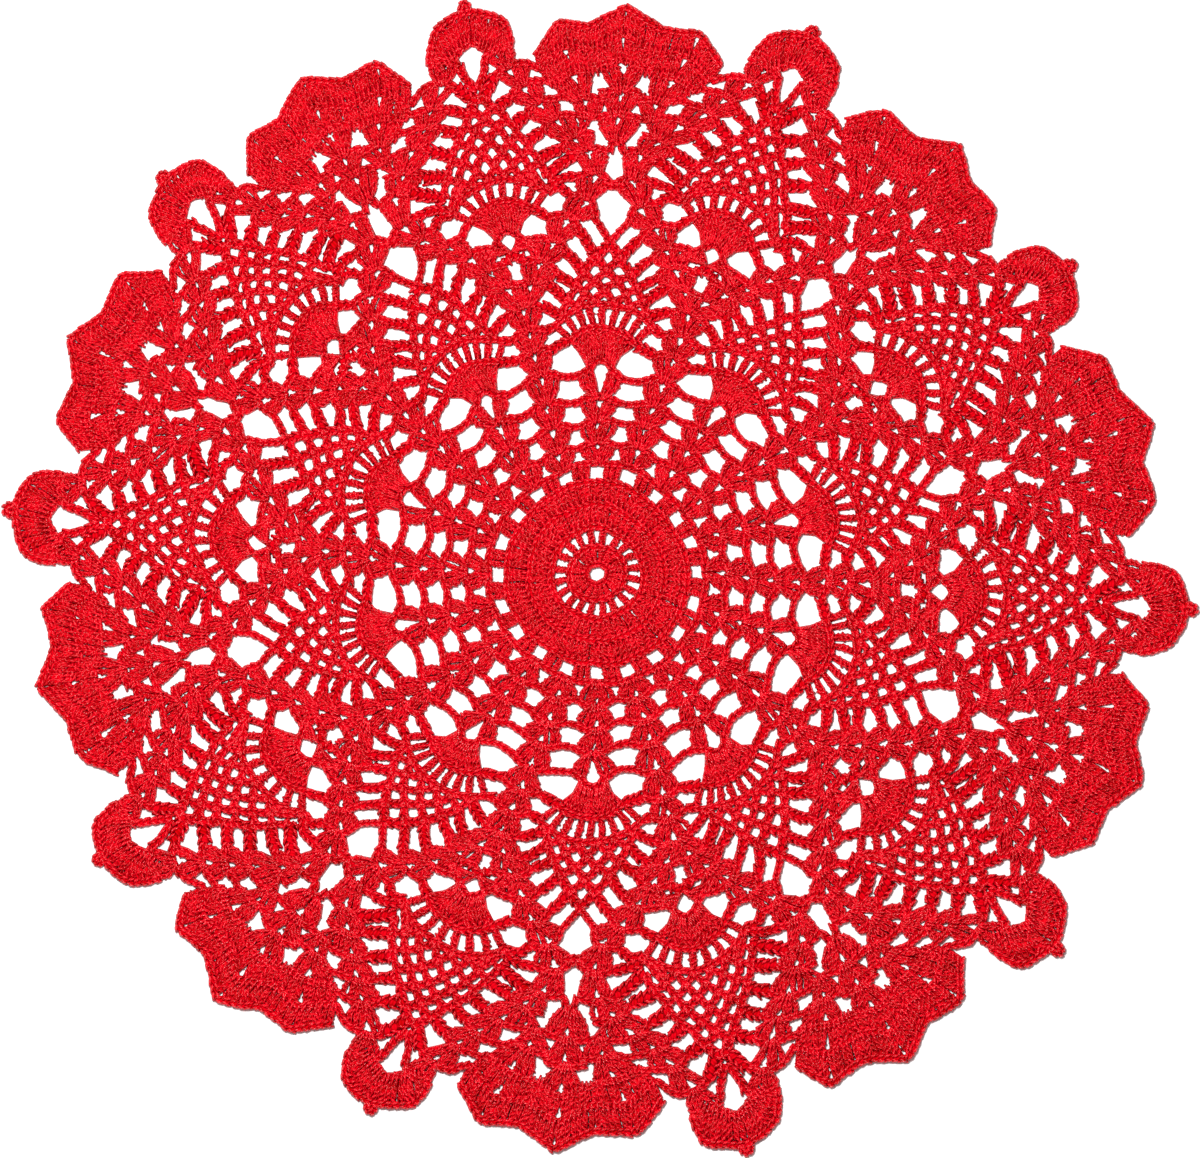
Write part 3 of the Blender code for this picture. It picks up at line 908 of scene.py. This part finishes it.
def cotton_material(look):
    """Mercerised cotton: twisted plies as bump and as painted shade in the grooves between them, and a tone
    of its own for each strand.
    """
    material = bpy.data.materials.new(look.name)
    material.use_nodes = True
    tree = material.node_tree
    nodes, links = tree.nodes, tree.links
    shader = nodes["Principled BSDF"]
    shader.inputs["Roughness"].default_value = look.roughness
    shader.inputs["Sheen Weight"].default_value = look.sheen
    shader.inputs["Sheen Roughness"].default_value = SHEEN_ROUGHNESS
    shader.inputs["Sheen Tint"].default_value = SHEEN_TINT
    shader.inputs["Specular IOR Level"].default_value = look.shine

    # The plies: bands that climb round the strand. Along it the map is in millimetres.
    uv = nodes.new("ShaderNodeUVMap")
    uv.uv_map = "yarn"
    split = nodes.new("ShaderNodeSeparateXYZ")
    links.new(uv.outputs["UV"], split.inputs["Vector"])
    along = scaled(tree, split.outputs["X"], 2.0 * np.pi / PLY_LENGTH)
    climbed = scaled(tree, split.outputs["Y"], 2.0 * np.pi * PLIES, along)
    wave = nodes.new("ShaderNodeMath")
    wave.operation = "SINE"
    links.new(climbed, wave.inputs[0])
    bump = nodes.new("ShaderNodeBump")
    bump.inputs["Strength"].default_value = PLY_STRENGTH
    bump.inputs["Distance"].default_value = PLY_HEIGHT
    links.new(wave.outputs[0], bump.inputs["Height"])
    links.new(bump.outputs["Normal"], shader.inputs["Normal"])

    # The colour: the strand's own tone, a little unevenness, and painted shade in the grooves between two
    # plies.
    tone = nodes.new("ShaderNodeAttribute")
    tone.attribute_name = "tone"
    place = nodes.new("ShaderNodeTexCoord")
    noise = nodes.new("ShaderNodeTexNoise")
    noise.inputs["Scale"].default_value = NOISE_SCALE
    noise.inputs["Detail"].default_value = NOISE_DETAIL
    links.new(place.outputs["Object"], noise.inputs["Vector"])
    mixed = scaled(tree, tone.outputs["Fac"], TONE_SHARE, noise.outputs["Fac"])
    # Painted shade: the ply wave darkens the colour where the grooves between the plies lie.
    groove_shaded = scaled(tree, wave.outputs[0], PLY_GROOVE_SHADE_SHARE, mixed)
    ramp = nodes.new("ShaderNodeValToRGB")
    ramp.color_ramp.elements[0].position = DEEP_END
    ramp.color_ramp.elements[0].color = look.deep
    ramp.color_ramp.elements[1].position = 1.0
    ramp.color_ramp.elements[1].color = look.bright
    links.new(groove_shaded, ramp.inputs["Fac"])
    links.new(ramp.outputs["Color"], shader.inputs["Base Color"])
    return material


def table_material():
    material = bpy.data.materials.new("white_table")
    material.use_nodes = True
    shader = material.node_tree.nodes["Principled BSDF"]
    shader.inputs["Base Color"].default_value = TABLE_COLOR
    shader.inputs["Roughness"].default_value = TABLE_ROUGHNESS
    return material


# -------------------------------- the scene

def chart():
    """Every stitch of one half repeat, by zone."""
    zones = {name: Zone(name) for name in PIECES}
    medallion(zones["lace_medallion"])
    column = column_shells(zones)
    pineapples(zones, column)
    between_outer_shells(zones, column)
    heart_and_fan(zones, column)
    tips(zones, column)
    return zones


def make_lace():
    """The strands of each zone, and under them the ground of all the stitches' cores."""
    random = np.random.default_rng(SEED)
    yarn_material = cotton_material(YARN_LOOK)
    ground = Yarn("lace_ground")
    pieces = [make_zone(zone, ground, yarn_material, random) for zone in chart().values()]
    # The cores under the strands wear the painted shade copy of the cotton.
    ground_piece = ground.piece(cotton_material(SHADED_INSIDE_LOOK))
    for piece in [ground_piece] + pieces:
        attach(piece, "root")
    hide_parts("doily")


# The table, the light and the camera, in metres and watts.
TABLE_SIZE = 4.0
TABLE_GAP = 0.0002          # from the table up to the lace
KEY_PLACE = (-0.26, 0.33, 1.54)
KEY_SIZE = 0.38
KEY_ENERGY = 31.4
WORLD_COLOR = (1.0, 1.0, 1.0, 1.0)
WORLD_STRENGTH = 0.30
CAMERA_PLACE = (-0.000236, -0.000171, 1.5)
CAMERA_WIDTH = 0.458        # what the picture's longer side shows


def make_table():
    bpy.ops.mesh.primitive_plane_add(size=TABLE_SIZE, location=(0.0, 0.0, -TABLE_GAP))
    table = bpy.context.object
    table.name = "table_top"
    table.data.materials.append(table_material())


def make_light():
    """A large soft lamp over the photograph's upper left, and a white world."""
    data = bpy.data.lights.new("key", "AREA")
    data.energy = KEY_ENERGY
    data.size = KEY_SIZE
    lamp = bpy.data.objects.new("key", data)
    lamp.location = KEY_PLACE
    lamp.rotation_euler = (-Vector(KEY_PLACE)).to_track_quat("-Z", "Y").to_euler()
    bpy.context.scene.collection.objects.link(lamp)
    world = bpy.data.worlds.new("studio")
    world.use_nodes = True
    background = world.node_tree.nodes["Background"]
    background.inputs["Color"].default_value = WORLD_COLOR
    background.inputs["Strength"].default_value = WORLD_STRENGTH
    bpy.context.scene.world = world


def make_camera():
    """Straight above the lace, as the photograph is taken."""
    data = bpy.data.cameras.new("camera")
    data.type = "ORTHO"
    data.ortho_scale = CAMERA_WIDTH
    camera = bpy.data.objects.new("camera", data)
    camera.location = CAMERA_PLACE
    bpy.context.scene.collection.objects.link(camera)
    bpy.context.scene.camera = camera
    bpy.context.scene.view_settings.view_transform = "Standard"


make_table()
make_lace()
make_light()
make_camera()
